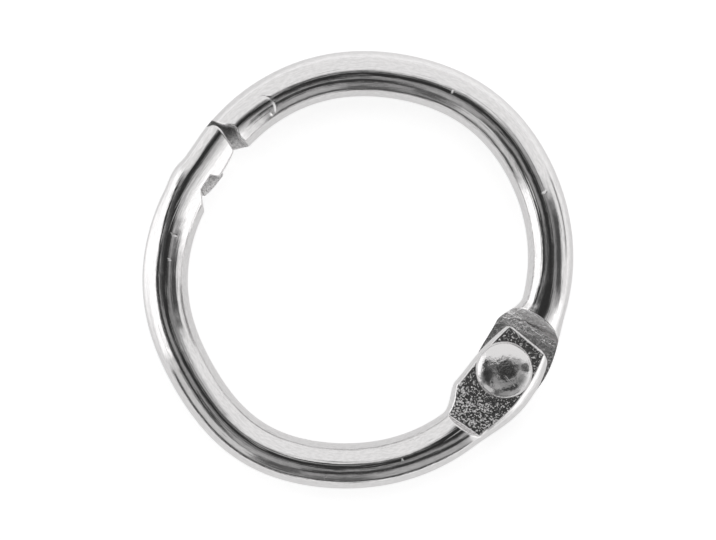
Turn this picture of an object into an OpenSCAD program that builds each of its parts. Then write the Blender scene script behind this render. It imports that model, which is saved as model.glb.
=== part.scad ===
// Hinged binder ring: two alike half rings of round wire, turned over on each
// other, riveted together at one end and lapped in a catch at the other.
// The ring lies on the XY plane. X runs from its middle to the rivet.

/* [Wire] */
// Diameter of the round wire
wire_d = 3.4; // [3.2:0.1:3.6]
// Bend radius of each half, to the middle of the wire
bend_r = 13.7; // [12:0.1:16]
// Distance of each half's bend centre from the middle of the ring
bend_offset = 1.2; // [1:0.1:1.4]

/* [Hinge] */
// Distance of the rivet inside the line of the wire
pivot_inset = 0.45; // [0.35:0.05:0.55]
// Thickness of each pressed lap
lap_t = 1.15; // [1.05:0.05:1.25]
// Gap between the two halves where they lap
lap_gap = 0.1; // [0.06:0.02:0.14]
// Widest part of the pressed lap
lap_w = 5.25; // [5:0.05:5.5]
// Distance from the rivet back to the widest part
lap_swell_y = 0.8; // [0.6:0.1:1]
// Distance of the lap's middle line outside the rivet
lap_shift = 0.3; // [0.2:0.05:0.35]
// Turn of the lap to follow the end of the bend
lap_tilt = 7; // [5:0.5:9]
// Radius of the lap's inner side, flatter than its outer side
inner_rim_r = 2.4; // [2:0.1:3]
// Difference between the wire's radius and the rounding of the lap's outer side
outer_rim_ease = 0.1; // [0.05:0.01:0.15]
// Height of the flat under the swelling above the lowest line of that rounding
root_lift = 0.05; // [0.03:0.01:0.08]
// Distance from the rivet to the straight end of the lap
lap_tip_y = 2.9; // [2.7:0.05:3]
// Turn of that end
lap_tip_tilt = 5; // [3:0.5:7]
// Radius from the rivet that trims the corners of that end
lap_turn_r = 3.4; // [3.2:0.05:3.5]
// Distance from the rivet back to the shoulder, at the face of the lap
shoulder_y = 3.95; // [3.8:0.05:4.1]
// Length of the shoulder's slope
shoulder_run = 0.8; // [0.6:0.05:1]
// Distance from the rivet back to the step down from the round wire
step_y = 5.1; // [4.9:0.05:5.2]
// Length of the step's slope
step_run = 0.3; // [0.2:0.05:0.4]

/* [Catch] */
// Distance of the catch's shoulder from the middle line, at the face of the lap
catch_shoulder_y = 2.75; // [2.65:0.05:2.85]
// Length of that shoulder's slope
catch_shoulder_run = 0.4; // [0.3:0.05:0.5]
// Gap between the end of one catch and the shoulder of the other
catch_end_gap = 0.3; // [0.2:0.05:0.4]
// Metal trimmed off the inner side of the catch's head
catch_trim = 0.4; // [0.3:0.05:0.5]
// Radius of that trimmed edge
catch_edge_r = 8.7; // [7:0.1:12]
// Distance from the middle line to where the head's end slants away
catch_slant_y = 2; // [1.9:0.05:2.1]
// Bevel at the outer corner of the head's end
catch_bevel = 0.5; // [0.4:0.05:0.6]
// Depth of the notch behind the head
notch_depth = 0.65; // [0.5:0.05:0.7]
// Distance from the middle line to the notch, at its floor
notch_y = 0.5; // [0.4:0.05:0.6]
// Lean of the wall between the notch and the head, as a share of its depth
notch_lean = 0.5; // [0.4:0.05:0.6]
// Length of the notch's floor
notch_l = 1.2; // [1.1:0.05:1.3]
// Length of the slope from the notch's floor back to the round wire
notch_slope_l = 1.5; // [1.3:0.05:1.6]

/* [Rivet] */
// Diameter of the rivet's shank
shank_d = 2; // [1.8:0.1:2.2]
// Running clearance round the shank in the half that turns on it
shank_clearance = 0.04; // [0.02:0.01:0.08]
// Diameter of the domed head
head_d = 4.25; // [4:0.05:4.5]
// Height of the domed head
head_h = 1; // [0.9:0.05:1.2]
// Radius of the head's shallow dome
dome_r = 5.5; // [5:0.1:7]
// Radius of the head's rounded edge
head_edge_r = 0.45; // [0.35:0.05:0.5]
// Diameter of the peened tail
tail_d = 3.4; // [3.2:0.1:3.8]

/* [Hidden] */
$fn = 96;

nickel = [0.78, 0.77, 0.75];
rivet_nickel = [0.82, 0.81, 0.79];

// Room past the metal that a cutter needs to come out clean
clear = 1;

wire_r = wire_d / 2;
mid_z = wire_r;
lap_in = lap_gap / 2;
lap_out = lap_in + lap_t;

// The line of the wire crosses the X axis here, and the rivet sits inside it
wire_x = sqrt(bend_r * bend_r - bend_offset * bend_offset);
pivot_x = wire_x - pivot_inset;

// The lap's sides are arcs from its widest part to the width of the wire
swell = lap_w / 2 - wire_r;
swell_l = step_y - lap_swell_y;
side_r = (swell_l * swell_l + swell * swell) / (2 * swell);
// Its outer rim is a little smaller than the wire that it grows out of
outer_rim_r = wire_r - outer_rim_ease;
root_z = outer_rim_r - root_lift;
// The wire runs on inside it, to midway between the shoulder and the widest part
wire_end = asin(((shoulder_y + lap_swell_y) / 2 - bend_offset) / bend_r);

// Slope of the catch's shoulder, and the end of the other catch that faces it
catch_slope = catch_shoulder_run / (wire_r - lap_in);
catch_tip_y = catch_shoulder_y - catch_end_gap;
catch_top_y = catch_tip_y + catch_shoulder_run;
// Inner side of the catch's head, and the floor of the notch behind it
catch_edge_x = -bend_r + wire_r - catch_trim;
notch_x = catch_edge_x - notch_depth;

// The head's rounded edge touches the dome from inside, and the dome ends where they touch
dome_z = lap_out + head_h - dome_r;
head_edge_x = head_d / 2 - head_edge_r;
edge_reach = dome_r - head_edge_r;
head_edge_z = dome_z + sqrt(edge_reach * edge_reach - head_edge_x * head_edge_x);
dome_end_x = head_edge_x * dome_r / edge_reach;

// A round bar of wire bent about the half's own centre, with its straight catch
module bent_wire() {
    translate([0, -bend_offset, 0]) {
        rotate([0, 0, 180])
            rotate_extrude(angle = 180 - wire_end)
                translate([bend_r, 0]) circle(r = wire_r);
        translate([-bend_r, 0, 0])
            rotate([-90, 0, 0])
                cylinder(r = wire_r, h = bend_offset + catch_shoulder_y + clear);
    }
}

// A disc with a rounded rim, for one side of the swelling
module round_rimmed_disc(rim_r) {
    rotate_extrude()
        intersection() {
            union() {
                translate([side_r - rim_r, 0]) circle(r = rim_r);
                translate([0, -wire_d]) square([side_r - rim_r, 2 * wire_d]);
            }
            translate([0, -root_z]) square([side_r, root_z + lap_out]);
        }
}

// The wire swells between two arcs where it has been spread
module swelling() {
    translate([pivot_x, 0, 0])
        rotate([0, 0, -lap_tilt])
            translate([lap_shift, -lap_swell_y, 0])
                intersection() {
                    translate([side_r - lap_w / 2, 0, 0]) round_rimmed_disc(inner_rim_r);
                    translate([lap_w / 2 - side_r, 0, 0]) round_rimmed_disc(outer_rim_r);
                }
}

// A cutter with a profile in Y and Z, drawn right across in X
module across(width) {
    rotate([90, 0, 90])
        translate([0, 0, -width / 2]) linear_extrude(width) children();
}

// What is pressed away over the hinge's lap, under it, and past its end
module lap_cut() {
    reach = lap_w + clear;
    top = wire_r + clear;
    step_slope = step_run / (wire_r - lap_out);
    shoulder_slope = shoulder_run / (wire_r - lap_in);
    translate([pivot_x, 0, 0]) {
        across(2 * lap_w)
            polygon([
                [-step_y, lap_out],
                [-step_y - step_slope * (top - lap_out), top],
                [reach, top],
                [reach, lap_out]
            ]);
        across(2 * lap_w)
            polygon([
                [-shoulder_y, lap_in],
                [-shoulder_y - shoulder_slope * (top + lap_in), -top],
                [reach, -top],
                [reach, lap_in]
            ]);
        translate([0, 0, -top])
            linear_extrude(2 * top)
                difference() {
                    translate([-lap_w, 0]) square([2 * lap_w, 2 * lap_w]);
                    intersection() {
                        circle(r = lap_turn_r);
                        rotate(-lap_tip_tilt)
                            translate([-lap_w, -lap_w]) square([2 * lap_w, lap_w + lap_tip_y]);
                    }
                }
    }
}

// What is pressed away under the catch and past its end
module catch_cut() {
    reach = catch_shoulder_y + 2 * clear;
    top = wire_r + clear;
    translate([-bend_r, 0, 0]) {
        across(2 * wire_d)
            polygon([
                [-catch_shoulder_y, lap_in],
                [-catch_shoulder_y - catch_slope * (top + lap_in), -top],
                [reach, -top],
                [reach, lap_in]
            ]);
        across(2 * wire_d)
            polygon([
                [catch_tip_y - catch_slope * lap_in, 0],
                [catch_tip_y + catch_slope * (top - lap_in), top],
                [reach, top],
                [reach, 0]
            ]);
    }
}

// What is trimmed off the sides of the catch, leaving a head with a notch behind it
module catch_trimming() {
    top = wire_r + clear;
    reach = catch_shoulder_y + 2 * clear;
    inner_x = -bend_r + wire_r + clear;
    outer_x = -bend_r - wire_r;
    slant = (catch_top_y - catch_slant_y) / (catch_edge_x + bend_r + notch_depth);
    slope = notch_slope_l / (catch_trim + notch_depth);
    translate([0, 0, -top])
        linear_extrude(2 * top) {
            difference() {
                translate([notch_x, -notch_y]) square([inner_x - notch_x, reach + notch_y]);
                translate([catch_edge_x - catch_edge_r, 0]) circle(r = catch_edge_r);
            }
            polygon([
                [notch_x, -notch_y],
                [catch_edge_x + clear, -notch_y + notch_lean * (notch_depth + clear)],
                [inner_x, -notch_y],
                [inner_x, -notch_y - notch_l - slope * (inner_x - notch_x)],
                [notch_x, -notch_y - notch_l]
            ]);
            polygon([
                [inner_x, catch_slant_y - slant * (inner_x - catch_edge_x)],
                [inner_x, reach],
                [catch_edge_x - (reach - catch_slant_y) / slant, reach]
            ]);
            polygon([
                [outer_x - clear, catch_top_y - catch_bevel - clear],
                [outer_x + catch_bevel + clear, catch_top_y + clear],
                [outer_x - clear, catch_top_y + clear]
            ]);
        }
}

// One half of the ring, lying on the -Y side, with its laps on top
module half_ring(bore_d) {
    difference() {
        union() {
            bent_wire();
            swelling();
        }
        lap_cut();
        catch_cut();
        catch_trimming();
        translate([pivot_x, 0, -wire_d]) cylinder(d = bore_d, h = 2 * wire_d);
    }
}

module over_half() {
    color(nickel)
        translate([0, 0, mid_z]) half_ring(shank_d);
}

module under_half() {
    color(nickel)
        translate([0, 0, mid_z])
            rotate([180, 0, 0]) half_ring(shank_d + 2 * shank_clearance);
}

// The rivet's head beds on the upper lap, and its tail ends level with the wire
module hinge_rivet() {
    tail_top = -lap_out - shank_clearance;
    color(rivet_nickel)
        translate([pivot_x, 0, mid_z])
            rotate_extrude() {
                translate([0, tail_top]) square([shank_d / 2, lap_out - tail_top]);
                translate([0, lap_out]) square([head_d / 2, head_edge_z - lap_out]);
                translate([head_edge_x, head_edge_z])
                    intersection() {
                        circle(r = head_edge_r);
                        square(head_edge_r);
                    }
                intersection() {
                    translate([0, dome_z]) circle(r = dome_r);
                    translate([0, head_edge_z]) square([dome_end_x, head_h]);
                }
                translate([0, -wire_r]) square([tail_d / 2, tail_top + wire_r]);
            }
}

over_half();
under_half();
hinge_rivet();
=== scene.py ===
# %% [markdown]
# # A binder ring
# This ring is opened, threaded through the holes of loose sheets and snapped shut again.
# It is made of two alike half rings of nickel-plated steel wire and one domed rivet.
# The solids come first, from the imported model. The looks are then built round them, in metres
# and in the same frame: X runs from the middle of the ring to the rivet, and Z points up.

# %% Load the frame
import math

import bpy
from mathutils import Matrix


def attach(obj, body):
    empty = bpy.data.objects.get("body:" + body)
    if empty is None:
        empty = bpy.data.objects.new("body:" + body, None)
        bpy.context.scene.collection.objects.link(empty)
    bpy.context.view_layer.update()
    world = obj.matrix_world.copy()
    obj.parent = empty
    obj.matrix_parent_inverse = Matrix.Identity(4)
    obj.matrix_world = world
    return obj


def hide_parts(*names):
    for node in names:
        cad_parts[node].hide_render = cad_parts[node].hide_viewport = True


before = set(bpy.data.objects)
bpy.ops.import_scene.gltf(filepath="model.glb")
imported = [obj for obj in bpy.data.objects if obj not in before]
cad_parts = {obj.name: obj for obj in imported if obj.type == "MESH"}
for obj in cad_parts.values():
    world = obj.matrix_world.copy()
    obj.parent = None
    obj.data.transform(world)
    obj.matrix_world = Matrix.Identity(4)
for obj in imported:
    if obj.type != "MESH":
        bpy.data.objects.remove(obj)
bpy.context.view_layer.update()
scene = bpy.context.scene

# %% [markdown]
# ## Sizes
# The sizes are the ones that the solids have, in millimetres, because a ring this small is
# easier to think about that way. Everything is turned into metres at the last step.

# %% Sizes in millimetres
MM = 0.001            # one millimetre in metres
PER_METRE = 1000.0    # millimetres in one metre
WIRE_R = 1.7          # radius of the round wire
BEND_R = 13.7         # bend of each half, to the middle of the wire
BEND_OFFSET = 1.2     # distance of each bend's centre from the middle of the ring
LAP_FACE = 0.05       # half of the gap between the two halves
LAP_TOP = 1.2         # outer flat of the pressed lap, from the middle plane
PIVOT_INSET = 0.45    # distance of the rivet inside the line of the wire
RIVET_X = math.sqrt(BEND_R ** 2 - BEND_OFFSET ** 2) - PIVOT_INSET
# What is left of the wire's height where it is pressed to half
HALF_HEIGHT = WIRE_R - LAP_FACE
print("rivet at x =", round(RIVET_X, 3), "mm")

# %% [markdown]
# ## Sums as nodes
# Geometry Nodes can bend a whole bar of wire with one rule, but a rule of many sums makes a
# long tree. This little class holds one socket of a tree. Adding two of them adds a Math node,
# so the rule can be read as a sum in the script and still be opened as nodes in Blender.
# The same class works in materials and in the world, because Math nodes are alike there.

# %% A socket that can be summed
def feed(tree, place, value):
    """Link a socket to an input, or set a plain value on it."""
    if isinstance(value, Field):
        tree.links.new(value.socket, place)
    elif isinstance(value, bpy.types.NodeSocket):
        tree.links.new(value, place)
    else:
        place.default_value = value


class Field:
    def __init__(self, tree, socket):
        self.tree = tree
        self.socket = socket

    def math(self, kind, *others):
        node = self.tree.nodes.new("ShaderNodeMath")
        node.operation = kind
        for place, value in zip(node.inputs, (self,) + others):
            feed(self.tree, place, value)
        return Field(self.tree, node.outputs[0])

    def __add__(self, other):
        return self.math("ADD", other)

    def __sub__(self, other):
        return self.math("SUBTRACT", other)

    def __mul__(self, other):
        return self.math("MULTIPLY", other)

    def __truediv__(self, other):
        return self.math("DIVIDE", other)

    def __neg__(self):
        return self.math("MULTIPLY", -1.0)

    def squared(self):
        return self.math("MULTIPLY", self)

    def rest(self):
        """What is left of one."""
        return -self + 1.0

    def at_least(self, other, soft=0.0):
        return self.math("SMOOTH_MAX", other, soft) if soft else self.math("MAXIMUM", other)

    def at_most(self, other, soft=0.0):
        return self.math("SMOOTH_MIN", other, soft) if soft else self.math("MINIMUM", other)

    def rise(self, start, end):
        """A smooth step from nothing at the start to one at the end."""
        node = self.tree.nodes.new("ShaderNodeMapRange")
        node.interpolation_type = "SMOOTHSTEP"
        self.tree.links.new(self.socket, node.inputs["Value"])
        node.inputs["From Min"].default_value = start
        node.inputs["From Max"].default_value = end
        return Field(self.tree, node.outputs["Result"])

    def hill(self, middle, width):
        """A bell curve that is one in its middle."""
        return (-((self - middle) / width).squared()).math("EXPONENT")

    def pick(self, if_over_zero, otherwise):
        chosen = self.math("GREATER_THAN", 0.0)
        return chosen * if_over_zero + chosen.rest() * otherwise


print("sums ready")

# %% [markdown]
# ## Points and their parts
# A place has three coordinates, and most rules below work on one of them at a time. These two
# helpers put three numbers together to a vector, and take a vector apart again.

# %% Put vectors together and take them apart
def vector(tree, x, y, z):
    node = tree.nodes.new("ShaderNodeCombineXYZ")
    for place, value in zip(node.inputs, (x, y, z)):
        feed(tree, place, value)
    return node.outputs[0]


def parts(tree, socket):
    node = tree.nodes.new("ShaderNodeSeparateXYZ")
    tree.links.new(socket, node.inputs[0])
    return [Field(tree, part) for part in node.outputs]


print("vectors ready")

# %% [markdown]
# ## The bar before it is bent
# A real half starts as a straight bar of wire. Its ends are pressed between dies, and then it is
# bent round. The tree does the same. A flat grid becomes the bar: one way along it (along), and
# one way round it (turn). The rows lie close together at the two worked ends and far apart
# where the wire is plain.

# %% Rows and columns of the bar
AROUND = 128
CATCH_ROWS, BEND_ROWS, HINGE_ROWS = 210, 110, 240
ROWS = CATCH_ROWS + BEND_ROWS + HINGE_ROWS
# Half of the bent length, and from there to the middle line of the ring
QUARTER = BEND_R * math.pi / 2
MIDDLE = QUARTER + BEND_OFFSET
# The worked stretch at each end, measured outwards from the middle line
CATCH_ZONE, CATCH_END = -5.0, 3.5
HINGE_ZONE, HINGE_END = -6.5, 3.7


def bar_rows(row):
    """Distance along the bar, in millimetres from its middle, of a row of the grid."""
    catch_step = (CATCH_END - CATCH_ZONE) / CATCH_ROWS
    bend_step = (2 * MIDDLE + CATCH_ZONE + HINGE_ZONE) / BEND_ROWS
    hinge_step = (HINGE_END - HINGE_ZONE) / HINGE_ROWS
    along = row.at_most(CATCH_ROWS) * catch_step - (MIDDLE + CATCH_END)
    along = along + (row - CATCH_ROWS).at_least(0.0).at_most(BEND_ROWS) * bend_step
    return along + (row - (CATCH_ROWS + BEND_ROWS)).at_least(0.0) * hinge_step


print("rows:", ROWS, "columns:", AROUND, "triangles:", 2 * ROWS * AROUND)

# %% [markdown]
# ## The bend
# Each half is bent over a round former, with a short straight piece past the bend at both ends.
# A real bend is never quite true: this one drifts out and in by a fraction of a millimetre, in the
# same way on both halves, because both came off the same former. The drift is a wave along the
# bar that dies away towards both ends.

# %% Bend the bar
WAVE_CREST, WAVE_LENGTH = 2.2, 20.0
WAVE_MIDDLE, WAVE_REACH = -2.0, 9.0


def bend(along, across, bend_r, bend_offset, drift):
    bent = along.at_least(-QUARTER).at_most(QUARTER)
    angle = bent / bend_r - math.pi / 2
    past = along - bent
    wave = ((along - WAVE_CREST) * (2 * math.pi / WAVE_LENGTH)).math("COSINE")
    radius = across + bend_r + wave * along.hill(WAVE_MIDDLE, WAVE_REACH) * drift
    x = radius * angle.math("COSINE") - past * angle.math("SINE")
    y = radius * angle.math("SINE") + past * angle.math("COSINE") - bend_offset
    return x, y


print("length of the bar:", round(2 * MIDDLE, 1), "mm")

# %% [markdown]
# ## The hinge's lap
# At the hinge the wire has been spread to a flat lap. Its sides swell out of the wire, most on
# the inner side, and draw in again towards the tip. The places are distances from the rivet,
# and they are less than zero on the way to it.

# %% The swelling
# Where a side starts to swell, where it is widest and by how much, and how it draws in again
INNER_SIDE = {"start": -6.0, "widest": -3.1, "gain": 1.2, "draw_from": -2.0, "draw": 0.027}
OUTER_SIDE = {"start": -5.6, "widest": -0.8, "gain": 0.7, "draw_from": -0.3, "draw": 0.066}


def swollen_side(from_rivet, start, widest, gain, draw_from, draw):
    drawn_in = (from_rivet - draw_from).at_least(0.0).squared() * draw
    return from_rivet.rise(start, widest) * gain + WIRE_R - drawn_in


print("the sides swell by", INNER_SIDE["gain"], "and", OUTER_SIDE["gain"], "mm")

# %% [markdown]
# ## The flats of the lap
# The two flats are where the dies stopped, so the height is simply held between two limits that
# step down towards the rivet. The far end of the lap is cut straight, and its corners are
# trimmed round the rivet, so that they clear the other half as it turns.

# %% The flats and the tip
STEP_Y, STEP_RUN = 5.1, 0.25
SHOULDER_Y, SHOULDER_RUN = 3.95, 0.75
TIP_Y, TIP_TILT = 2.9, math.radians(5)
TIP_CORNER_R, TIP_SOFT = 3.4, 0.3
LEAST_SQUARE = 0.01   # keeps the root real far from the rivet


def lap_limits(y):
    top = (-y - STEP_Y).at_least(0.0) * ((WIRE_R - LAP_TOP) / STEP_RUN) + LAP_TOP
    under = (-y - SHOULDER_Y).at_least(0.0) * (-HALF_HEIGHT / SHOULDER_RUN) + LAP_FACE
    return top, under


def lap_tip(across):
    from_axis = across + (BEND_R - RIVET_X)
    straight = from_axis * -math.tan(TIP_TILT) + TIP_Y
    rounded = (-from_axis.squared() + TIP_CORNER_R ** 2).at_least(LEAST_SQUARE).math("SQRT")
    return straight.at_most(rounded, TIP_SOFT)


print("thickness of a lap:", LAP_TOP - LAP_FACE, "mm")

# %% [markdown]
# ## The catch
# At the other end the bar is pressed away to half its height, and trimmed on its inner side.
# That leaves a head, and behind it a notch with a long slope back to the full wire. The other
# half has the same head on its far side, and it shows through this notch. Again each rule is
# only a limit on how far the metal reaches.

# %% The catch's wall and its inner side
WALL_Y, WALL_RUN = 2.85, 0.3
WALL_BOW, BOW_MIDDLE, BOW_WIDTH = 0.4, 0.05, 0.5
HEAD_CURVE_R = 8.7
NOTCH_FLOOR, NOTCH_Y, NOTCH_WALL = 0.65, 0.5, 2.0
NOTCH_END, NOTCH_SLOPE = 1.7, 0.7
HEAD_SOFT, NOTCH_SOFT = 0.1, 0.15


def catch_limit(y, across):
    wall = across.hill(BOW_MIDDLE, BOW_WIDTH) * WALL_BOW + WALL_Y
    return (-y - wall).at_least(0.0) * (-HALF_HEIGHT / WALL_RUN) + LAP_FACE


def catch_inner_side(from_middle, head_edge):
    head = from_middle.squared() * (-0.5 / HEAD_CURVE_R) + head_edge
    behind_head = (from_middle + NOTCH_Y).at_least(0.0) * NOTCH_WALL + NOTCH_FLOOR
    slope = (-from_middle - NOTCH_END).at_least(0.0) * NOTCH_SLOPE + NOTCH_FLOOR
    return slope.at_least(head.at_most(behind_head, HEAD_SOFT), NOTCH_SOFT)


print("notch:", round(NOTCH_END - NOTCH_Y, 2), "mm long")

# %% [markdown]
# ## The catch's head
# The head ends in a leaning face, with a slant on its inner side and a bevel on its outer
# corner. The blow that trimmed the head also pushed its crown outwards, so the crown leaves the
# middle of the wire on the way to the head.

# %% The catch's tip and crown
FACE_Y, FACE_RUN = 2.45, 0.4
SLANT_SIDE, SLANT_Y, SLANT = 1.3, 2.0, 0.436
BEVEL_Y = 2.35
SLANT_SOFT, BEVEL_SOFT = 0.2, 0.3
CROWN_START, CROWN_FULL, CROWN_PUSH = -9.0, -0.5, 0.62
BULGE_START, BULGE_FULL = -3.2, -1.7
BULGE_FADES, BULGE_ENDS = -1.5, -0.3


def catch_tip(across, height):
    face = (height - LAP_FACE) * (FACE_RUN / HALF_HEIGHT) + FACE_Y
    slant = (across + SLANT_SIDE) * SLANT + SLANT_Y
    bevel = -across + (BEVEL_Y + WIRE_R)
    return face.at_most(slant, SLANT_SOFT).at_most(bevel, BEVEL_SOFT)


def pushed_crown(from_middle, height):
    crown = (height / WIRE_R).at_least(0.0).squared()
    return from_middle.rise(CROWN_START, CROWN_FULL) * crown * CROWN_PUSH


def catch_bulge(from_middle, side, bulge):
    place = from_middle.rise(BULGE_START, BULGE_FULL) * (-from_middle).rise(-BULGE_ENDS, -BULGE_FADES)
    return place * bulge * side.rise(0.0, 1.0)


print("the crown leaves the middle by up to", CROWN_PUSH, "mm")

# %% [markdown]
# ## Rounded ends
# A row that lies past the tip can't go further, so it is drawn in towards the middle of the end
# face instead, and the last row closes to a point. Just before the tip the section shrinks along
# a quarter circle, which leaves a small round on the edge.

# %% Close the ends
EDGE_ROUND = 0.18
CLOSING_L = 0.5       # stretch of rows that closes an end face
SECTION_R = 1.1       # about half of the section's width at an end
HEAD_MIDDLE = (0.2, 0.8)    # middle of the catch's end face, across and up
LAP_MIDDLE_UP = 0.62        # middle of the lap's end face, up
END_SOFT = 0.05


def shrink_at_end(distance, tip, end):
    into_round = (distance - tip + EDGE_ROUND).at_least(0.0).at_most(EDGE_ROUND) / EDGE_ROUND
    inset = (-into_round.squared() + 1.0).math("SQRT") * -EDGE_ROUND + EDGE_ROUND
    closing = (-distance + end).at_least(0.0).at_most(CLOSING_L) / CLOSING_L
    return (inset * (-1 / SECTION_R) + 1.0) * closing


def about(value, middle, share):
    return (value - middle) * share + middle


def close_ends(along, across, height, lap_middle):
    from_rivet = along - MIDDLE
    from_middle = -along - MIDDLE
    at_lap = shrink_at_end(from_rivet, lap_tip(across), HINGE_END)
    shrink = at_lap * shrink_at_end(from_middle, catch_tip(across, height), CATCH_END)
    across = about(across, from_middle.pick(HEAD_MIDDLE[0], lap_middle), shrink)
    height = about(height, from_middle.pick(HEAD_MIDDLE[1], LAP_MIDDLE_UP), shrink)
    along = along.at_most(lap_tip(across) + MIDDLE, END_SOFT)
    along = along.at_least(-catch_tip(across, height) - MIDDLE, END_SOFT)
    return along, across, height


print("round on the ends:", EDGE_ROUND, "mm")

# %% [markdown]
# ## One tree for both halves
# Both halves come from the same tooling, so one tree makes them, and an input turns the second
# one over about the X axis. The tree starts with its named inputs and the flat grid.

# %% The tree's inputs and its grid
NUMBERS = ("Bend radius", "Bend offset", "Bend drift", "Bulge at catch", "Head edge", "Turned over")


def new_tree():
    tree = bpy.data.node_groups.new("half_ring", "GeometryNodeTree")
    tree.interface.new_socket("Geometry", in_out="OUTPUT", socket_type="NodeSocketGeometry")
    tree.interface.new_socket("Geometry", in_out="INPUT", socket_type="NodeSocketGeometry")
    for name in NUMBERS:
        tree.interface.new_socket(name, in_out="INPUT", socket_type="NodeSocketFloat")
    tree.interface.new_socket("Plating", in_out="INPUT", socket_type="NodeSocketMaterial")
    return tree


def flat_grid(tree):
    grid = tree.nodes.new("GeometryNodeMeshGrid")
    grid.inputs["Size X"].default_value = ROWS
    grid.inputs["Size Y"].default_value = 2 * math.pi
    grid.inputs["Vertices X"].default_value = ROWS + 1
    grid.inputs["Vertices Y"].default_value = AROUND + 1
    row, turn, _ = parts(tree, tree.nodes.new("GeometryNodeInputPosition").outputs[0])
    return grid.outputs["Mesh"], bar_rows(row + ROWS / 2), turn


print("inputs:", NUMBERS)

# %% [markdown]
# ## The section of the bar
# Plain wire is round. Where it swells, its inner side gets squarer, because it was squeezed
# against the flat of a die. A power on the cosine and the sine of a circle does that: one
# gives a circle, and less than one pushes the section out into its corners.

# %% The round or swollen section
SQUARE_START, SQUARE_FULL = -5.3, -3.0
FLAT_START, FLAT_MOST, FLAT_END = -9.0, -5.4, -4.0
FLAT_SHARE, SQUARE_DROP, FLAT_DROP = 0.48, 0.42, 0.2


def bar_section(from_rivet, turn):
    side = turn.math("COSINE")
    up = turn.math("SINE")
    inner = swollen_side(from_rivet, **INNER_SIDE)
    outer = swollen_side(from_rivet, **OUTER_SIDE)
    square = from_rivet.rise(SQUARE_START, SQUARE_FULL)
    flat = from_rivet.rise(FLAT_START, FLAT_MOST) - from_rivet.rise(FLAT_MOST, FLAT_END)
    inner_power = (flat * FLAT_SHARE + square).at_most(1.0) * -SQUARE_DROP + 1.0
    power = side.pick(flat * -FLAT_DROP + 1.0, inner_power)
    across = side.math("ABSOLUTE").math("POWER", power) * side.math("SIGN") * side.pick(outer, inner)
    height = up.math("ABSOLUTE").math("POWER", power) * up.math("SIGN") * WIRE_R
    return side, across, height, (outer - inner) * 0.5


print("the section is round up to", -FLAT_START, "mm from the rivet")

# %% [markdown]
# ## Pressing
# The dies stay square to the ring, so their limits need to know where a point will lie once the
# bar is bent. A soft limit rolls the edge over, as the press does. What a limit takes away is
# written down too: the finish of a struck face, and of one that rubs on the other half, differs
# from that of the plain wire.

# %% Press the laps
NO_LIMIT = 5.0
TOP_SOFT, UNDER_SOFT, TRIM_SOFT = 0.16, 0.14, 0.12


def press(x, y, across, height, from_middle, head_edge):
    lap_top, lap_under = lap_limits(y)
    from_top = height.at_most(x.pick(lap_top, NO_LIMIT), TOP_SOFT)
    formed = from_top.at_least(x.pick(lap_under, catch_limit(y, across)), UNDER_SOFT)
    trimmed = across.at_least(-catch_inner_side(from_middle, head_edge), TRIM_SOFT)
    pressed = height - from_top
    rubbed = (formed - from_top) + (trimmed - across)
    return trimmed, formed, pressed, rubbed


print("rolled edges of about", TOP_SOFT, "mm")

# %% [markdown]
# ## From grid to mesh
# The last nodes of the tree store what the finish needs, move the points, and close the seam
# and the two end points by merging what lies together. Where each point lay on the straight
# bar is stored as well, because the lines left by drawing the wire run along it.

# %% Store, move and close
MARK_START, MARK_FULL = 0.03, 0.14
MERGE_DISTANCE = 2e-7


def step(tree, kind, geometry, **values):
    """Add a node that takes a geometry and hands it on."""
    node = tree.nodes.new(kind)
    tree.links.new(geometry, node.inputs[0])
    for name, value in values.items():
        feed(tree, node.inputs[name], value)
    return node.outputs[0]


def store(tree, geometry, kind, name, value):
    node = tree.nodes.new("GeometryNodeStoreNamedAttribute")
    node.data_type = kind
    tree.links.new(geometry, node.inputs[0])
    node.inputs["Name"].default_value = name
    feed(tree, node.inputs["Value"], value)
    return node.outputs[0]


def mesh_from_grid(tree, grid, spot, bar, pressed, rubbed):
    geometry = store(tree, grid, "FLOAT_VECTOR", "bar", bar)
    geometry = store(tree, geometry, "FLOAT", "pressed", pressed.rise(MARK_START, MARK_FULL))
    geometry = store(tree, geometry, "FLOAT", "rubbed", rubbed.rise(MARK_START, MARK_FULL))
    geometry = step(tree, "GeometryNodeSetPosition", geometry, Position=spot)
    geometry = step(tree, "GeometryNodeMergeByDistance", geometry, Distance=MERGE_DISTANCE)
    geometry = step(tree, "GeometryNodeSetShadeSmooth", geometry)
    return step(tree, "GeometryNodeRealizeInstances", geometry)


print("points closer than", MERGE_DISTANCE, "m are merged")

# %% [markdown]
# ## The whole rule
# Now the steps follow each other as they do in the workshop: section, press, ends, bend. The
# under half is the same bar turned over, so its Y and its height change their sign.

# %% Build the half ring's tree
def half_ring_tree():
    tree = new_tree()
    given = tree.nodes.new("NodeGroupInput")
    numbers = [Field(tree, given.outputs[name]) for name in NUMBERS]
    bend_r, bend_offset, drift, bulge, head_edge, turned = numbers
    grid, along, turn = flat_grid(tree)
    from_middle = -along - MIDDLE

    side, across, height, lap_middle = bar_section(along - MIDDLE, turn)
    across = across + pushed_crown(from_middle, height)
    x, y = bend(along, across, bend_r, bend_offset, drift)
    across, height, pressed, rubbed = press(x, y, across, height, from_middle, head_edge)
    across = across + catch_bulge(from_middle, side, bulge)
    along, across, height = close_ends(along, across, height, lap_middle)

    x, y = bend(along, across, bend_r, bend_offset, drift)
    over = turned * -2.0 + 1.0
    spot = vector(tree, x * MM, y * over * MM, (height * over + WIRE_R) * MM)
    bar = vector(tree, along, across, height)
    geometry = mesh_from_grid(tree, grid, spot, bar, pressed, rubbed)
    plated = step(tree, "GeometryNodeSetMaterial", geometry, Material=given.outputs["Plating"])
    tree.links.new(plated, tree.nodes.new("NodeGroupOutput").inputs[0])
    print("half ring tree:", len(tree.nodes), "nodes")
    return tree


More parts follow.
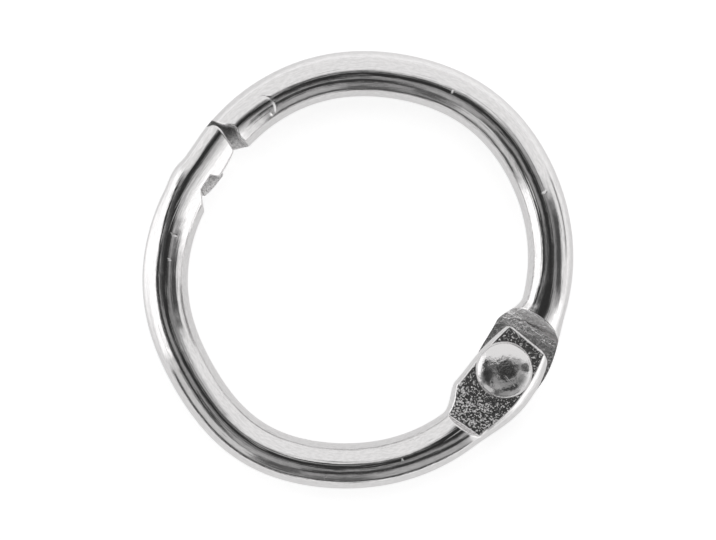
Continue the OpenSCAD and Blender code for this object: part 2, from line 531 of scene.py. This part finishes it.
HALF_RING = half_ring_tree()

# %% [markdown]
# ## Small helpers for finishes
# Every finish below is built from the same few nodes: a noise, a stretched pattern, an
# attribute that the tree has stored, a mix of two colours and a bump. Heights are in
# millimetres, and the bump's distance turns them into metres.

# %% Nodes that the finishes share
def new_finish(name):
    material = bpy.data.materials.new(name)
    material.use_nodes = True
    return material, material.node_tree, material.node_tree.nodes["Principled BSDF"]


def noise(tree, place, scale, detail, roughness=0.5):
    node = tree.nodes.new("ShaderNodeTexNoise")
    node.inputs["Scale"].default_value = scale
    node.inputs["Detail"].default_value = detail
    node.inputs["Roughness"].default_value = roughness
    tree.links.new(place, node.inputs["Vector"])
    return Field(tree, node.outputs[0])


def stretched(tree, place, scale):
    node = tree.nodes.new("ShaderNodeMapping")
    node.inputs["Scale"].default_value = scale
    tree.links.new(place, node.inputs["Vector"])
    return node.outputs[0]


def attribute(tree, name, output):
    node = tree.nodes.new("ShaderNodeAttribute")
    node.attribute_name = name
    return node.outputs[output]


def mixed(tree, share, first, second):
    """A mix of two colours, each a socket or three numbers."""
    node = tree.nodes.new("ShaderNodeMix")
    node.data_type = "RGBA"
    tree.links.new(share.socket, node.inputs["Factor"])
    # Inputs 6 and 7 of a Mix node are its two colours, and output 2 is the mixed one
    for place, value in zip(node.inputs[6:8], (first, second)):
        feed(tree, place, (*value, 1.0) if isinstance(value, tuple) else value)
    return node.outputs[2]


def raise_surface(tree, shader, height):
    bump = tree.nodes.new("ShaderNodeBump")
    bump.inputs["Strength"].default_value = 1.0
    bump.inputs["Distance"].default_value = MM
    tree.links.new(height.socket, bump.inputs["Height"])
    tree.links.new(bump.outputs[0], shader.inputs["Normal"])


print("helpers for finishes ready")

# %% [markdown]
# ## What the plating knows of the wire
# A finish that follows the wire has to know where a point lay on the straight bar and what the
# dies did to it there. This class reads what the tree has stored, and names the places where the
# plating looks different: the catch, and the slope of the hinge's shoulder.

# %% Places and patterns on the wire
# Scales of the drawn patterns, along the bar, across it and up
LINE_SCALE, STREAK_SCALE = (0.08, 5.0, 5.0), (2.5, 9.0, 9.0)
SCORE_SCALE, RIPPLE_SCALE = (0.16, 7.0, 7.0), (0.35, 0.5, 0.5)
# Scales of the even patterns, per millimetre
COARSE_SCALE, GRIT_SCALE, FINE_SCALE = 2.2, 3.2, 7.0
RAGGED = 0.6          # roughness of the noises with the most broken edges
# Where each place starts and where it is full, from the bar's middle or, for the slope, the rivet
CATCH_FROM, CATCH_FULL = 18.0, 20.0
SLOPE_FROM, SLOPE_FULL = 3.9, 4.2
HINGE_FROM, HINGE_FULL = 10.0, 12.0


class WireFace:
    def __init__(self, tree):
        self.tree = tree
        self.bar = attribute(tree, "bar", "Vector")
        self.solid = tree.nodes.new("ShaderNodeTexCoord").outputs["Object"]
        self.along, self.across, self.depth = parts(tree, self.bar)
        self.from_rivet = self.along - MIDDLE
        self.pressed = Field(tree, attribute(tree, "pressed", "Fac"))
        self.rubbed = Field(tree, attribute(tree, "rubbed", "Fac"))
        self.at_catch = (-self.along).rise(CATCH_FROM, CATCH_FULL)
        at_hinge = self.along.rise(HINGE_FROM, HINGE_FULL)
        self.at_slope = (-self.from_rivet).rise(SLOPE_FROM, SLOPE_FULL) * at_hinge
        self.matt = self.at_catch.at_least(self.at_slope)
        self.lines = self.drawn(LINE_SCALE, detail=4.0, roughness=RAGGED)
        self.streaks = self.drawn(STREAK_SCALE, detail=2.0)
        self.coarse = self.grain(COARSE_SCALE, detail=2.0)

    def drawn(self, scale, detail, roughness=0.5):
        """A noise that is stretched along the wire, as the marks of drawing are."""
        return noise(self.tree, stretched(self.tree, self.bar, scale), 1.0, detail, roughness)

    def grain(self, scale, detail, roughness=0.5):
        """A noise that is alike every way, with its scale per millimetre."""
        place = stretched(self.tree, self.solid, (PER_METRE,) * 3)
        return noise(self.tree, place, scale, detail, roughness)


print("the catch's finish is full", round(MIDDLE - CATCH_FULL, 2), "mm before the middle line")

# %% [markdown]
# ## Relief of the plain wire
# Drawing a wire through a die leaves fine lines along it, a few deeper scores and slow ripples.
# They have to stay slight, because a mirror doubles every slope, and a strong bump would blur
# the crisp bands that the bright wire shows. The dies have smoothed most of it away again.

# %% Lines along the wire
LINE_H, SCORE_H, RIPPLE_H, STREAK_H = 0.01, 0.04, 0.045, 0.002
SCORE_LEVEL = 0.6
SMOOTHED = 0.9


def drawn_relief(face):
    scores = (face.drawn(SCORE_SCALE, detail=2.0) - SCORE_LEVEL).at_least(0.0)
    ripple = face.drawn(RIPPLE_SCALE, detail=2.0)
    relief = face.lines * LINE_H + scores * SCORE_H + ripple * RIPPLE_H + face.streaks * STREAK_H
    return relief * (face.pressed.at_least(face.rubbed) * -SMOOTHED + 1.0)


print("lines up to", LINE_H, "mm high")

# %% [markdown]
# ## Relief of the worked faces
# The dies leave a coarse grain on the faces that they strike. It glitters against the dark, most
# where the face is farthest from the rivet, so only the tops of a fine noise are raised there.
# Faces that rub on the other half have a duller and more even grit.

# %% Specks and grit
SPECK_FROM, SPECK_TO = -3.2, -2.2
SPECK_LEVEL, FEWER_AT_RIVET, SPECK_PATCHES = 0.61, 0.05, 0.12
SPECK_H, DENT_H, FINE_H = 0.28, 0.015, 0.004
GRIT_H, MATT_GRIT_H = 0.08, 0.3


def worked_relief(face):
    fine = face.grain(FINE_SCALE, detail=3.0, roughness=RAGGED)
    near_rivet = face.from_rivet.rise(SPECK_FROM, SPECK_TO)
    level = near_rivet * FEWER_AT_RIVET + face.coarse * -SPECK_PATCHES + SPECK_LEVEL
    specks = (fine - level).at_least(0.0)
    struck = face.pressed * (specks * SPECK_H + face.coarse * DENT_H + fine * FINE_H)
    grit = face.grain(GRIT_SCALE, detail=2.0, roughness=RAGGED)
    return struck + face.rubbed * grit * (face.matt * MATT_GRIT_H + GRIT_H)


print("level for specks:", SPECK_LEVEL, "less", SPECK_PATCHES, "of the coarse noise")

# %% [markdown]
# ## Nicks
# Handling has left a few nicks across the wire, and the tooling a bowed line near the catch.
# Each is a narrow hill along the bar that ends at two places across it. The drawn lines
# break it up, so that it doesn't look ruled.

# %% Nicks across the wire
NICK_EDGE = 0.1
BOW_CENTRE, BOW = 0.4, 0.4


def nick_relief(face, nicks):
    total = 0.0
    for place, inner, outer, width, height in nicks:
        bowed = face.along + (face.across + BOW_CENTRE).squared() * (outer - inner) * BOW
        past_inner = face.across.rise(inner - NICK_EDGE, inner + NICK_EDGE)
        before_outer = (-face.across).rise(-outer - NICK_EDGE, -outer + NICK_EDGE)
        total = bowed.hill(place, width) * past_inner * before_outer * height * face.lines + total
    return total


# Each nick is its place along the bar, its inner and outer ends across it, its width and height
OVER_NICKS = (
    (-16.9, -0.45, 0.05, 0.06, 0.02),
    (-15.0, -0.4, -0.15, 0.06, 0.025),
    (12.3, 0.04, 0.14, 0.06, 0.05),
    (6.7, 0.8, 0.9, 0.05, 0.05),
)
UNDER_NICKS = (
    (-15.7, -1.05, 0.6, 0.13, -0.03),
    (-16.3, -1.1, -0.9, 0.12, -0.05),
    (8.6, 0.1, 0.45, 0.06, 0.04),
    (-1.7, -0.1, 0.04, 0.05, 0.05),
)
print("nicks:", len(OVER_NICKS), "on the over half,", len(UNDER_NICKS), "on the under half")

# %% [markdown]
# ## Tint, gloss and painted shade
# Bright nickel is a mirror with a neutral grey tint, a little patchy along the drawn streaks.
# Rubbed faces are duller, and at the catch they are worn to a satin that scatters light like
# frosted metal, which a lower Metallic gives. Shade is painted into the colour where the other
# half's head or lap ends over a face, as a dark crevice where the shadow falls.

# %% Colour and roughness of the wire
# The second tint is the dark colour of the painted shade
SATIN_TINT, PAINTED_SHADE_TINT = (0.95, 0.94, 0.94), (0.1, 0.1, 0.1)
BRIGHTEST, DIMMEST = 1.04, 0.94
PATCHES_FROM, PATCHES_FULL = 0.3, 0.7
CATCH_SATIN, SLOPE_SATIN = 0.85, 0.5
PLAIN_ROUGH, LINE_ROUGH, COARSE_ROUGH, STRUCK_ROUGH = 0.04, 0.06, 0.03, 0.07
RUBBED_ROUGH, RUBBED_PATCHES, MATT_ROUGH = 0.06, 0.14, 0.08
# Where the painted shade starts and where it is full: behind the head, up, across, and towards the
# rivet
BEHIND_HEAD, UP_TO_TOP, TO_OUTSIDE, TO_RIVET = (1.9, 2.3), (-1.2, -0.5), (-0.8, 0.2), (-3.6, -2.9)
# How dark the painted shade gets, and how much of it lies under the lap's tip
PAINTED_SHADE_SHARE, LAP_PAINTED_SHADE = 0.85, 0.6


def wire_roughness(face):
    dull = face.coarse * RUBBED_PATCHES + face.matt * MATT_ROUGH + RUBBED_ROUGH
    plain = face.lines * LINE_ROUGH + PLAIN_ROUGH
    return plain + face.pressed * STRUCK_ROUGH + face.rubbed * dull + face.coarse * COARSE_ROUGH


# Painted shade: darker colour where the other half's head or lap tip shades the face
def wire_painted_shade(face):
    behind_head = (face.along + MIDDLE).rise(*BEHIND_HEAD)
    outer_edge = face.depth.rise(*UP_TO_TOP) * face.across.rise(*TO_OUTSIDE)
    by_head = face.at_catch * behind_head * outer_edge
    by_lap = face.from_rivet.rise(*TO_RIVET)
    return face.rubbed * by_head.at_least(by_lap * LAP_PAINTED_SHADE) * PAINTED_SHADE_SHARE


def wire_colour(face, tint, satin):
    brightest = tuple(part * BRIGHTEST for part in tint)
    dimmest = tuple(part * DIMMEST for part in tint)
    patches = face.streaks.rise(PATCHES_FROM, PATCHES_FULL)
    metal = mixed(face.tree, patches, brightest, dimmest)
    worn = mixed(face.tree, satin, metal, SATIN_TINT)
    # The last mix paints the shade of those crevices into the colour
    return mixed(face.tree, wire_painted_shade(face), worn, PAINTED_SHADE_TINT)


print("satin share at the catch:", CATCH_SATIN)

# %% [markdown]
# ## The plating of each half
# The two halves were plated together, so they share one recipe and one tint. Only their nicks
# differ.

# %% The plating material
def plating(name, tint, nicks):
    material, tree, shader = new_finish(name)
    face = WireFace(tree)
    raise_surface(tree, shader, drawn_relief(face) + worked_relief(face) + nick_relief(face, nicks))
    satin = face.rubbed * (face.at_catch * CATCH_SATIN + face.at_slope * SLOPE_SATIN)
    feed(tree, shader.inputs["Roughness"], wire_roughness(face))
    feed(tree, shader.inputs["Metallic"], satin.rest())
    feed(tree, shader.inputs["Base Color"], wire_colour(face, tint, satin))
    print("material:", name, len(tree.nodes), "nodes")
    return material


WIRE_TINT = (0.70, 0.69, 0.69)
OVER_NICKEL = plating("over_nickel", WIRE_TINT, OVER_NICKS)
UNDER_NICKEL = plating("under_nickel", WIRE_TINT, UNDER_NICKS)

# %% [markdown]
# ## Drilling the laps
# The rivet's hole is drilled after the lap is pressed. A grid can't have a hole in it,
# so a Boolean takes a plain cylinder out of the finished bar, as a drill does.

# %% A drill for the rivet's hole
DRILL_SIDES = 96
DRILL_FROM, DRILL_TO = -1.0, 5.0


def drill(radius):
    turns = [2 * math.pi * k / DRILL_SIDES for k in range(DRILL_SIDES)]
    rim = [(RIVET_X + radius * math.cos(turn), radius * math.sin(turn)) for turn in turns]
    points = [(x * MM, y * MM, z * MM) for z in (DRILL_FROM, DRILL_TO) for x, y in rim]
    foot = list(range(DRILL_SIDES))
    top = [k + DRILL_SIDES for k in foot]
    following = foot[1:] + foot[:1]
    sides = [(k, after, after + DRILL_SIDES, k + DRILL_SIDES) for k, after in zip(foot, following)]
    mesh = bpy.data.meshes.new("drill")
    mesh.from_pydata(points, [], sides + [foot[::-1], top])
    tool = bpy.data.objects.new("drill", mesh)
    scene.collection.objects.link(tool)
    return tool


print("drill with", DRILL_SIDES, "sides")

# %% [markdown]
# ## Make the two halves
# The tree hangs on an empty mesh as a modifier. Its inputs are set by their identifiers, and the
# result is turned into a plain mesh, so that nothing live is left on the piece. Each half then
# stands for its solid and moves with that solid's body.

# %% The two halves
def grow_half(name, bore_r, values):
    start = bpy.data.objects.new(name + "_start", bpy.data.meshes.new(name + "_start"))
    scene.collection.objects.link(start)
    modifier = start.modifiers.new("half_ring", "NODES")
    modifier.node_group = HALF_RING
    for socket in HALF_RING.interface.items_tree:
        if socket.name in values:
            modifier[socket.identifier] = values[socket.name]
    tool = drill(bore_r)
    bore = start.modifiers.new("bore", "BOOLEAN")
    bore.operation = "DIFFERENCE"
    bore.solver = "EXACT"
    bore.object = tool
    shape = start.evaluated_get(bpy.context.evaluated_depsgraph_get())
    mesh = bpy.data.meshes.new_from_object(shape)
    bpy.data.objects.remove(start)
    bpy.data.objects.remove(tool)
    return mesh


def make_half(name, node, plate, bore_r, turned, bulge, head_edge, drift):
    values = {"Bend radius": BEND_R, "Bend offset": BEND_OFFSET, "Bend drift": drift,
              "Bulge at catch": bulge, "Head edge": head_edge, "Turned over": turned, "Plating": plate}
    mesh = grow_half(name, bore_r, values)
    half = bpy.data.objects.new(name, mesh)
    scene.collection.objects.link(half)
    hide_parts(node)
    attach(half, node)
    print(name, len(mesh.vertices), "points,", len(mesh.polygons), "faces")
    return half


over = make_half("over_wire", "over_half", OVER_NICKEL, bore_r=1.0, turned=0.0,
                 bulge=0.14, head_edge=1.3, drift=0.26)
under = make_half("under_wire", "under_half", UNDER_NICKEL, bore_r=1.04, turned=1.0,
                  bulge=0.0, head_edge=1.42, drift=0.14)

# %% [markdown]
# ## The rivet's profile
# The rivet was headed from plain rod, so it is a profile spun round its own axis: a flattened
# tail below, the shank that the halves turn on, and the domed head. The dome is flattest in its
# middle, and its edge rolls over in an arc that carries on from the dome's own slope.

# %% Draw the rivet's profile
HEAD_R, HEAD_BASE, HEAD_TOP = 2.125, 2.9, 3.9
TAIL_R, TAIL_TOP, SHANK_R = 1.7, 0.47, 0.995
TAIL_ROUND, FOOT_ROUND = 0.14, 0.06
CLEAR = 0.01          # a hair's breadth above the tail and above the lap
DOME_END = 1.87       # radius at which the dome runs into the edge
DOME_SQUARE, DOME_FOURTH = 0.042, 0.0155
DOME_RINGS, EDGE_STEPS, TAIL_STEPS, FOOT_STEPS = 30, 20, 10, 6


def dome_height(radius):
    return HEAD_TOP - DOME_SQUARE * radius ** 2 - DOME_FOURTH * radius ** 4


def arc(centre, radius, start, end, steps):
    turns = [math.radians(start + (end - start) * k / steps) for k in range(steps + 1)]
    return [(centre[0] + radius * math.cos(a), centre[1] + radius * math.sin(a)) for a in turns]


def head_profile():
    slope = math.atan(2 * DOME_SQUARE * DOME_END + 4 * DOME_FOURTH * DOME_END ** 3)
    edge_r = (HEAD_R - DOME_END) / (1 - math.sin(slope))
    centre = (HEAD_R - edge_r, dome_height(DOME_END) - edge_r * math.cos(slope))
    edge = arc(centre, edge_r, 0, 90 - math.degrees(slope), EDGE_STEPS)
    radii = [DOME_END * (1 - k / DOME_RINGS) for k in range(1, DOME_RINGS)]
    print("head's edge radius:", round(edge_r, 3), "mm")
    return edge + [(radius, dome_height(radius)) for radius in radii] + [(0.0, HEAD_TOP)]


def rivet_profile():
    tail_x = TAIL_R - TAIL_ROUND
    tail = [(0.0, 0.0)] + arc((tail_x, TAIL_ROUND), TAIL_ROUND, -90, 0, TAIL_STEPS)
    tail += arc((tail_x, TAIL_TOP - TAIL_ROUND), TAIL_ROUND, 0, 90, TAIL_STEPS)
    shank = [(SHANK_R, TAIL_TOP + CLEAR), (SHANK_R, HEAD_BASE + CLEAR)]
    foot_centre = (HEAD_R - FOOT_ROUND, HEAD_BASE + FOOT_ROUND + CLEAR)
    foot = arc(foot_centre, FOOT_ROUND, -90, 0, FOOT_STEPS)
    return tail + shank + foot + head_profile()


PROFILE = rivet_profile()
print("profile:", len(PROFILE), "points")

# %% [markdown]
# ## Spinning it
# Each point of the profile becomes a ring, and the two points on the axis close the ends. The
# blow that closed the real rivet came from one side, so the head leans a little, and
# the highest spot of its dome lies off the axis.

# %% Spin the rivet
LEAN_X, LEAN_Y = 0.034, 0.042
RIVET_SIDES = 128


def leaning(x, y, height):
    share = (height - HEAD_BASE) / (HEAD_TOP - HEAD_BASE)
    return height + max(share, 0.0) * (x * LEAN_X + y * LEAN_Y)


def rivet_point(radius, turn, height):
    x = radius * math.cos(turn)
    y = radius * math.sin(turn)
    return ((RIVET_X + x) * MM, y * MM, leaning(x, y, height) * MM)


def spin(name, profile):
    sides = RIVET_SIDES
    rings = profile[1:-1]
    turns = [2 * math.pi * k / sides for k in range(sides)]
    points = [rivet_point(radius, turn, height) for radius, height in rings for turn in turns]
    faces = []
    for ring in range(len(rings) - 1):
        for k in range(sides):
            near, far = ring * sides + k, ring * sides + (k + 1) % sides
            faces.append((near, far, far + sides, near + sides))
    foot, top, last = len(points), len(points) + 1, (len(rings) - 1) * sides
    points += [rivet_point(0.0, 0.0, profile[0][1]), rivet_point(0.0, 0.0, profile[-1][1])]
    for k in range(sides):
        faces.append((foot, (k + 1) % sides, k))
        faces.append((top, last + k, last + (k + 1) % sides))
    mesh = bpy.data.meshes.new(name)
    mesh.from_pydata(points, [], faces)
    mesh.shade_smooth()
    print(name, len(points), "points,", len(faces), "faces")
    return mesh


rivet_mesh = spin("rivet", PROFILE)

# %% [markdown]
# ## The rivet's plating
# The head has the same nickel, but it is the spot that a thumb and other rings knock against. A
# thin dark film has gathered on its inner side, with a second one opposite, and two fine
# scratches run across its outer half. The first film is a hill whose edge a noise breaks up.

# %% Film and scratches on the head
HEAD_TINT, FILM_TINT = (0.68, 0.67, 0.67), (0.12, 0.12, 0.12)
BLOTCHES = 2600.0     # scale of the blotches, per metre
# Middle and width of each film, along X and along Y from the rivet's axis
INNER_X, INNER_Y = (-0.85, 0.6), (-1.1, 0.8)
OUTER_X, OUTER_Y = (1.5, 0.45), (0.1, 0.7)
INNER_FILM, OUTER_FILM = 0.9, 0.85
FILM_FROM, FILM_FULL = 0.25, 0.8
BROKEN_EDGE = 0.9     # how much the blotches break the film's edge
FIRST_H, SECOND_H, BLOTCH_H = 0.007, 0.005, 0.025
HEAD_ROUGH, BLOTCH_ROUGH, FILM_ROUGH = 0.07, 0.14, 0.1


def head_film(x, y, blotch):
    inner = x.hill(*INNER_X) * y.hill(*INNER_Y) + blotch * BROKEN_EDGE - BROKEN_EDGE / 2
    outer = x.hill(*OUTER_X) * y.hill(*OUTER_Y)
    return (inner.rise(FILM_FROM, FILM_FULL) * INNER_FILM).at_least(outer * OUTER_FILM)


def head_scratch(x, y, slant, drop, width, start, end):
    """A fine line that fades in between the two starts and out between the two ends."""
    line = (y + x * slant + drop).hill(0.0, width)
    return line * x.rise(*start) * (-x).rise(-end[1], -end[0])


def rivet_plating():
    material, tree, shader = new_finish("rivet_nickel")
    place = tree.nodes.new("ShaderNodeTexCoord").outputs["Object"]
    x, y = (part * PER_METRE for part in parts(tree, place)[:2])
    x = x - RIVET_X
    blotch = noise(tree, place, BLOTCHES, detail=3.0)
    film = head_film(x, y, blotch)
    first = head_scratch(x, y, slant=0.27, drop=0.2, width=0.022, start=(0.2, 0.45), end=(1.1, 1.5))
    second = head_scratch(x, y, slant=0.22, drop=0.36, width=0.018, start=(0.3, 0.6), end=(0.9, 1.3))
    raise_surface(tree, shader, first * FIRST_H + second * SECOND_H + blotch * BLOTCH_H)
    shader.inputs["Metallic"].default_value = 1.0
    feed(tree, shader.inputs["Roughness"], blotch * BLOTCH_ROUGH + HEAD_ROUGH + film * FILM_ROUGH)
    feed(tree, shader.inputs["Base Color"], mixed(tree, film, HEAD_TINT, FILM_TINT))
    print("material:", material.name, len(tree.nodes), "nodes")
    return material


rivet = bpy.data.objects.new("rivet", rivet_mesh)
scene.collection.objects.link(rivet)
rivet_mesh.materials.append(rivet_plating())
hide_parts("hinge_rivet")
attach(rivet, "over_half")

# %% [markdown]
# ## Light
# A mirror has no look of its own: it shows what stands round it. So the light is a white tent
# that is written into the world, with an opening overhead where the camera looks in and a few
# plain panels, grey, dark or white. Lamps would only show as dots on the wire. Directions are
# headings in degrees from the picture's right, turning left, and angles from straight up.

# %% A tent to hang panels in
VIEW_TURN = math.radians(34.6)
LEAST_FLAT = 0.001    # keeps a division from failing straight up


def towards(x, y, heading):
    """Distance along a heading of the picture."""
    turn = math.radians(heading) + VIEW_TURN
    return x * math.cos(turn) + y * math.sin(turn)


class Tent:
    """How bright the tent is in each direction."""

    def __init__(self, tree, cloth):
        place = tree.nodes.new("ShaderNodeTexCoord").outputs["Generated"]
        self.x, self.y, self.up = parts(tree, place)
        self.steep = self.up.math("ARCCOSINE") * math.degrees(1)
        self.flat = (self.x.squared() + self.y.squared()).math("SQRT").at_least(LEAST_FLAT)
        self.light = cloth

    def hang(self, cosine, reach, soft, level, height=1.0):
        """Cover the directions within an angle, which the cosine is of."""
        inside = math.cos(math.radians(reach - soft))
        outside = math.cos(math.radians(reach + soft))
        share = cosine.rise(outside, inside) * height
        self.light = share * (-self.light + level) + self.light

    def panel(self, level, heading, half_width, soft, top, foot, edge):
        """A panel to both sides of a heading, from its top down to its foot."""
        below_top = self.steep.rise(top - edge, top + edge)
        above_foot = self.steep.rise(foot - edge, foot + edge).rest()
        cosine = towards(self.x, self.y, heading) / self.flat
        self.hang(cosine, half_width, soft, level, below_top * above_foot)

    def disc(self, level, heading, tilt, radius, soft):
        lean = math.radians(tilt)
        cosine = towards(self.x, self.y, heading) * math.sin(lean) + self.up * math.cos(lean)
        self.hang(cosine, radius, soft, level)


print("view turned by", round(math.degrees(VIEW_TURN), 1), "degrees")

# %% [markdown]
# ## The panels
# What is hung later covers what was hung before it. The near side, below the ring in the
# picture, is dim, and dark bars run across it. They give the wire its crisp dark bands. White
# panels on the left and on the right give it the bright ones.

# %% Hang the panels
def hang_ceiling(tent):
    tent.disc(level=0.2, heading=300, tilt=4, radius=16, soft=7)
    tent.panel(level=0.5, heading=28, half_width=14, soft=8, top=10, foot=32, edge=8)


def hang_near_side(tent):
    tent.panel(level=0.38, heading=228, half_width=78, soft=6, top=11, foot=120, edge=4)
    # A dark bar runs round that side, with a second one low down
    tent.panel(level=0.05, heading=231, half_width=80, soft=5, top=27.5, foot=44, edge=3)
    tent.panel(level=0.1, heading=252, half_width=54, soft=5, top=78, foot=120, edge=3)
    # Between the bars, from the left: a white panel, a grey one, two dark posts and a grey one
    tent.panel(level=1.5, heading=176, half_width=29, soft=4, top=44.5, foot=120, edge=4)
    tent.panel(level=0.75, heading=223, half_width=18, soft=4, top=46, foot=75, edge=3)
    tent.panel(level=0.12, heading=250, half_width=6, soft=3, top=40, foot=70, edge=3)
    tent.panel(level=0.16, heading=270, half_width=8, soft=4, top=61, foot=80, edge=4)
    tent.panel(level=0.52, heading=291, half_width=13, soft=5, top=47, foot=77, edge=4)
    # A gap in the upper bar
    tent.disc(level=0.5, heading=241, tilt=33, radius=8, soft=4)


def hang_right_side(tent):
    # A white panel with a grey one above it, and dark ones beside them
    tent.panel(level=0.6, heading=328, half_width=18, soft=6, top=12, foot=30, edge=5)
    tent.panel(level=1.5, heading=333.5, half_width=17, soft=3, top=44, foot=120, edge=5)
    tent.panel(level=0.32, heading=8, half_width=18, soft=6, top=10, foot=28, edge=5)
    tent.panel(level=0.09, heading=3, half_width=13, soft=8, top=27, foot=58, edge=5)
    tent.panel(level=0.35, heading=12, half_width=10, soft=4, top=78, foot=120, edge=3)


def cut_opening(tent):
    # Its dark edge reaches farther on the left and on the right
    tent.panel(level=0.08, heading=172, half_width=17, soft=5, top=7, foot=22.5, edge=3)
    tent.panel(level=0.08, heading=353, half_width=14, soft=5, top=6, foot=17, edge=3)
    tent.disc(level=0.035, heading=268, tilt=5, radius=10.5, soft=4)


print("panels ready to hang")

# %% [markdown]
# ## The world
# The camera itself sees plain white where it looks past the ring, and every other ray sees
# the tent. Is Camera Ray tells the two apart, so the background stays white without more light
# on the ring.

# %% World
CLOTH = 1.05          # brightness of the tent's plain cloth
WHITE = 1.0


def white_tent():
    world = bpy.data.worlds.new("white_tent")
    world.use_nodes = True
    tree = world.node_tree
    background = tree.nodes["Background"]
    tent = Tent(tree, CLOTH)
    hang_ceiling(tent)
    hang_near_side(tent)
    hang_right_side(tent)
    cut_opening(tent)
    camera_ray = Field(tree, tree.nodes.new("ShaderNodeLightPath").outputs["Is Camera Ray"])
    seen = camera_ray * (-tent.light + WHITE) + tent.light
    feed(tree, background.inputs["Strength"], seen)
    background.inputs["Color"].default_value = (1.0, 1.0, 1.0, 1.0)
    print("world:", len(tree.nodes), "nodes")
    return world


scene.world = white_tent()
scene.view_settings.view_transform = "Standard"

# %% [markdown]
# ## Light from the paper
# The ring lies on white paper, and the sides of the wire mirror that paper. So the paper glows a
# little, but not so much that the ring's soft shadow is lost. It is brighter where the
# white panel on the left spills on to it, and away from the ring, soonest on the far side.
# Both are kept from the camera, which sees plain paper.

# %% The paper's glow
GLOW, CAMERA_GLOW = 0.52, 0.18
SPILL, SPILL_HEADING, SPILL_WIDTH = 0.6, 174, 8.0
SPILL_START, SPILL_FULL = 17.6, 19.4
FAR_GLOW, FAR_HEADING, FAR_LEAN = 0.27, 60, 0.5
FAR_START, FAR_FULL = 23.0, 37.0


def paper_glow(tree):
    place = tree.nodes.new("ShaderNodeTexCoord").outputs["Object"]
    x, y = (part * PER_METRE for part in parts(tree, place)[:2])
    camera_ray = Field(tree, tree.nodes.new("ShaderNodeLightPath").outputs["Is Camera Ray"])
    outwards = towards(x, y, SPILL_HEADING)
    aside = towards(x, y, SPILL_HEADING + 90)
    spill = outwards.rise(SPILL_START, SPILL_FULL) * aside.hill(0.0, SPILL_WIDTH)
    reach = (x.squared() + y.squared()).math("SQRT") + towards(x, y, FAR_HEADING) * FAR_LEAN
    mirrored = spill * SPILL + reach.rise(FAR_START, FAR_FULL) * FAR_GLOW
    return camera_ray * CAMERA_GLOW + camera_ray.rest() * mirrored + GLOW


print("glow of the paper:", GLOW, "and", CAMERA_GLOW, "more for the camera")

# %% [markdown]
# ## Floor
# The paper is one flat square, far larger than the picture. It has no gloss, and its own grey is
# held low, so that glow and light together come to white.

# %% Floor
FLOOR_HALF = 0.5      # half the paper's side, in metres
PAPER_GREY = (0.55, 0.55, 0.55, 1.0)


def white_paper():
    material, tree, shader = new_finish("white_paper")
    shader.inputs["Base Color"].default_value = PAPER_GREY
    shader.inputs["Roughness"].default_value = 0.9
    shader.inputs["Specular IOR Level"].default_value = 0.0
    shader.inputs["Emission Color"].default_value = (1.0, 1.0, 1.0, 1.0)
    feed(tree, shader.inputs["Emission Strength"], paper_glow(tree))
    return material


def pale_floor():
    corners = [(-FLOOR_HALF, -FLOOR_HALF, 0), (FLOOR_HALF, -FLOOR_HALF, 0),
               (FLOOR_HALF, FLOOR_HALF, 0), (-FLOOR_HALF, FLOOR_HALF, 0)]
    mesh = bpy.data.meshes.new("floor")
    mesh.from_pydata(corners, [], [(0, 1, 2, 3)])
    mesh.materials.append(white_paper())
    floor = bpy.data.objects.new("floor", mesh)
    scene.collection.objects.link(floor)
    print("floor:", 2 * FLOOR_HALF, "m wide")
    return floor


floor = pale_floor()

# %% [markdown]
# ## Camera
# The picture is taken from straight above, with the ring turned on the paper. Here the camera is
# turned instead, so the ring stays in its own frame. It looks from far away through a long lens,
# so that the wire looks alike all round.

# %% Camera
VIEW_WIDTH = 0.05343      # width of the picture at the wire, in metres
CAMERA_HEIGHT = 0.35      # above the middle of the wire, in metres
SENSOR_WIDTH = 36         # in millimetres
BELOW_MIDDLE = 0.05 * MM  # the picture's middle lies a little below the ring's

camera = bpy.data.objects.new("camera", bpy.data.cameras.new("camera"))
scene.collection.objects.link(camera)
scene.camera = camera
camera.data.sensor_width = SENSOR_WIDTH
camera.data.lens = SENSOR_WIDTH * CAMERA_HEIGHT / VIEW_WIDTH
camera.data.clip_start = 0.01
camera.location = (math.sin(VIEW_TURN) * BELOW_MIDDLE, -math.cos(VIEW_TURN) * BELOW_MIDDLE,
                   CAMERA_HEIGHT + WIRE_R * MM)
camera.rotation_euler = (0, 0, VIEW_TURN)
print("lens:", round(camera.data.lens, 1), "mm")

# %% [markdown]
# ## Finish
# The looks differ from the solids' size only by a fraction of a millimetre, because the bends
# drift and the rivet leans. The last line brings the view layer up to date.

# %% Finish
bpy.context.view_layer.update()
